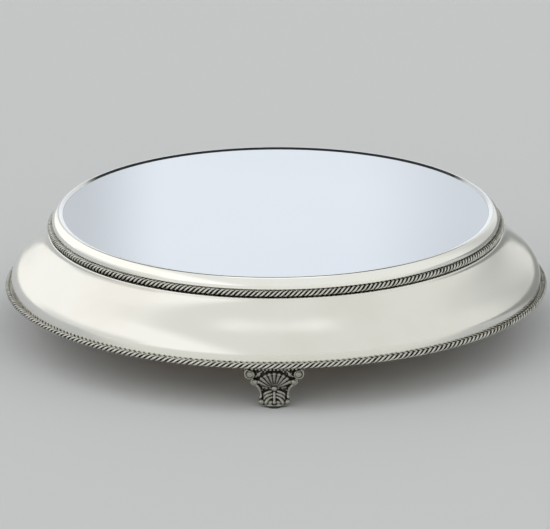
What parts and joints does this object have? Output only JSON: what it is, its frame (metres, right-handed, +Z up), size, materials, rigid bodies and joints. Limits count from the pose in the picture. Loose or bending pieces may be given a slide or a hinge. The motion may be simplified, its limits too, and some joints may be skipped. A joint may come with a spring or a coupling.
{
  "type": "cake turntable",
  "caption": "Low round silver-plated cake stand: a mirror top that turns on a ball bearing over a flared skirt, with rope-twist borders and cast feet.",
  "frame": {"origin": "the middle of the circle that the object covers, on the surface that it stands on", "axes": "+Z up along the spindle, -Y to the front, where the first foot stands, +X to the right"},
  "size_m": [0.5596, 0.5596, 0.127],
  "materials": {
    "mirror": "polished",
    "silver_plate": "polished",
    "rope_silver": "polished, dark in the twists",
    "cast_silver": "cast, dark in the hollows",
    "plywood": "sealed",
    "steel": "zinc-plated",
    "bronze": "machined",
    "felt": "felt"
  },
  "bodies": {
    "base": {"base_skirt": "silver_plate", "lower_rope_border": "rope_silver", "base_ring": "silver_plate", "deck_board": "plywood", "lower_race": "steel", "pivot_bush": "bronze", "deck_screw_1": "steel", "deck_screw_2": "steel", "deck_screw_3": "steel", "deck_screw_4": "steel", "deck_screw_5": "steel", "deck_screw_6": "steel", "lower_race_screw_1": "steel", "lower_race_screw_2": "steel", "lower_race_screw_3": "steel", "foot_1": "cast_silver", "foot_2": "cast_silver", "foot_3": "cast_silver", "foot_pad_1": "felt", "foot_pad_2": "felt", "foot_pad_3": "felt", "foot_screw_1": "steel", "foot_screw_2": "steel", "foot_screw_3": "steel", "foot_screw_4": "steel", "foot_screw_5": "steel", "foot_screw_6": "steel"},
    "ball_cage": {"ball_cage": "bronze", "ball_1": "steel", "ball_2": "steel", "ball_3": "steel", "ball_4": "steel", "ball_5": "steel", "ball_6": "steel", "ball_7": "steel", "ball_8": "steel", "ball_9": "steel", "ball_10": "steel", "ball_11": "steel", "ball_12": "steel"},
    "turntable": {"mirror_plate": "mirror", "top_rim": "silver_plate", "upper_rope_border": "rope_silver", "turntable_board": "plywood", "upper_race": "steel", "spindle": "steel", "spindle_washer": "steel", "spindle_nut": "steel", "rim_screw_1": "steel", "rim_screw_2": "steel", "rim_screw_3": "steel", "rim_screw_4": "steel", "rim_screw_5": "steel", "rim_screw_6": "steel", "spindle_screw_1": "steel", "spindle_screw_2": "steel", "spindle_screw_3": "steel", "upper_race_screw_1": "steel", "upper_race_screw_2": "steel", "upper_race_screw_3": "steel"}
  },
  "joints": [
    {"name": "top_spin", "type": "hinge", "parent": "base", "child": "turntable", "pos_m": [0, 0, 0.1], "axis": [0, 0, 1], "continuous": true},
    {"name": "cage_spin", "type": "hinge", "parent": "base", "child": "ball_cage", "pos_m": [0, 0, 0.1], "axis": [0, 0, 1], "continuous": true}
  ],
  "couplings": [
    {"joint": "cage_spin", "follows": "top_spin", "ratio": 0.5}
  ]
}
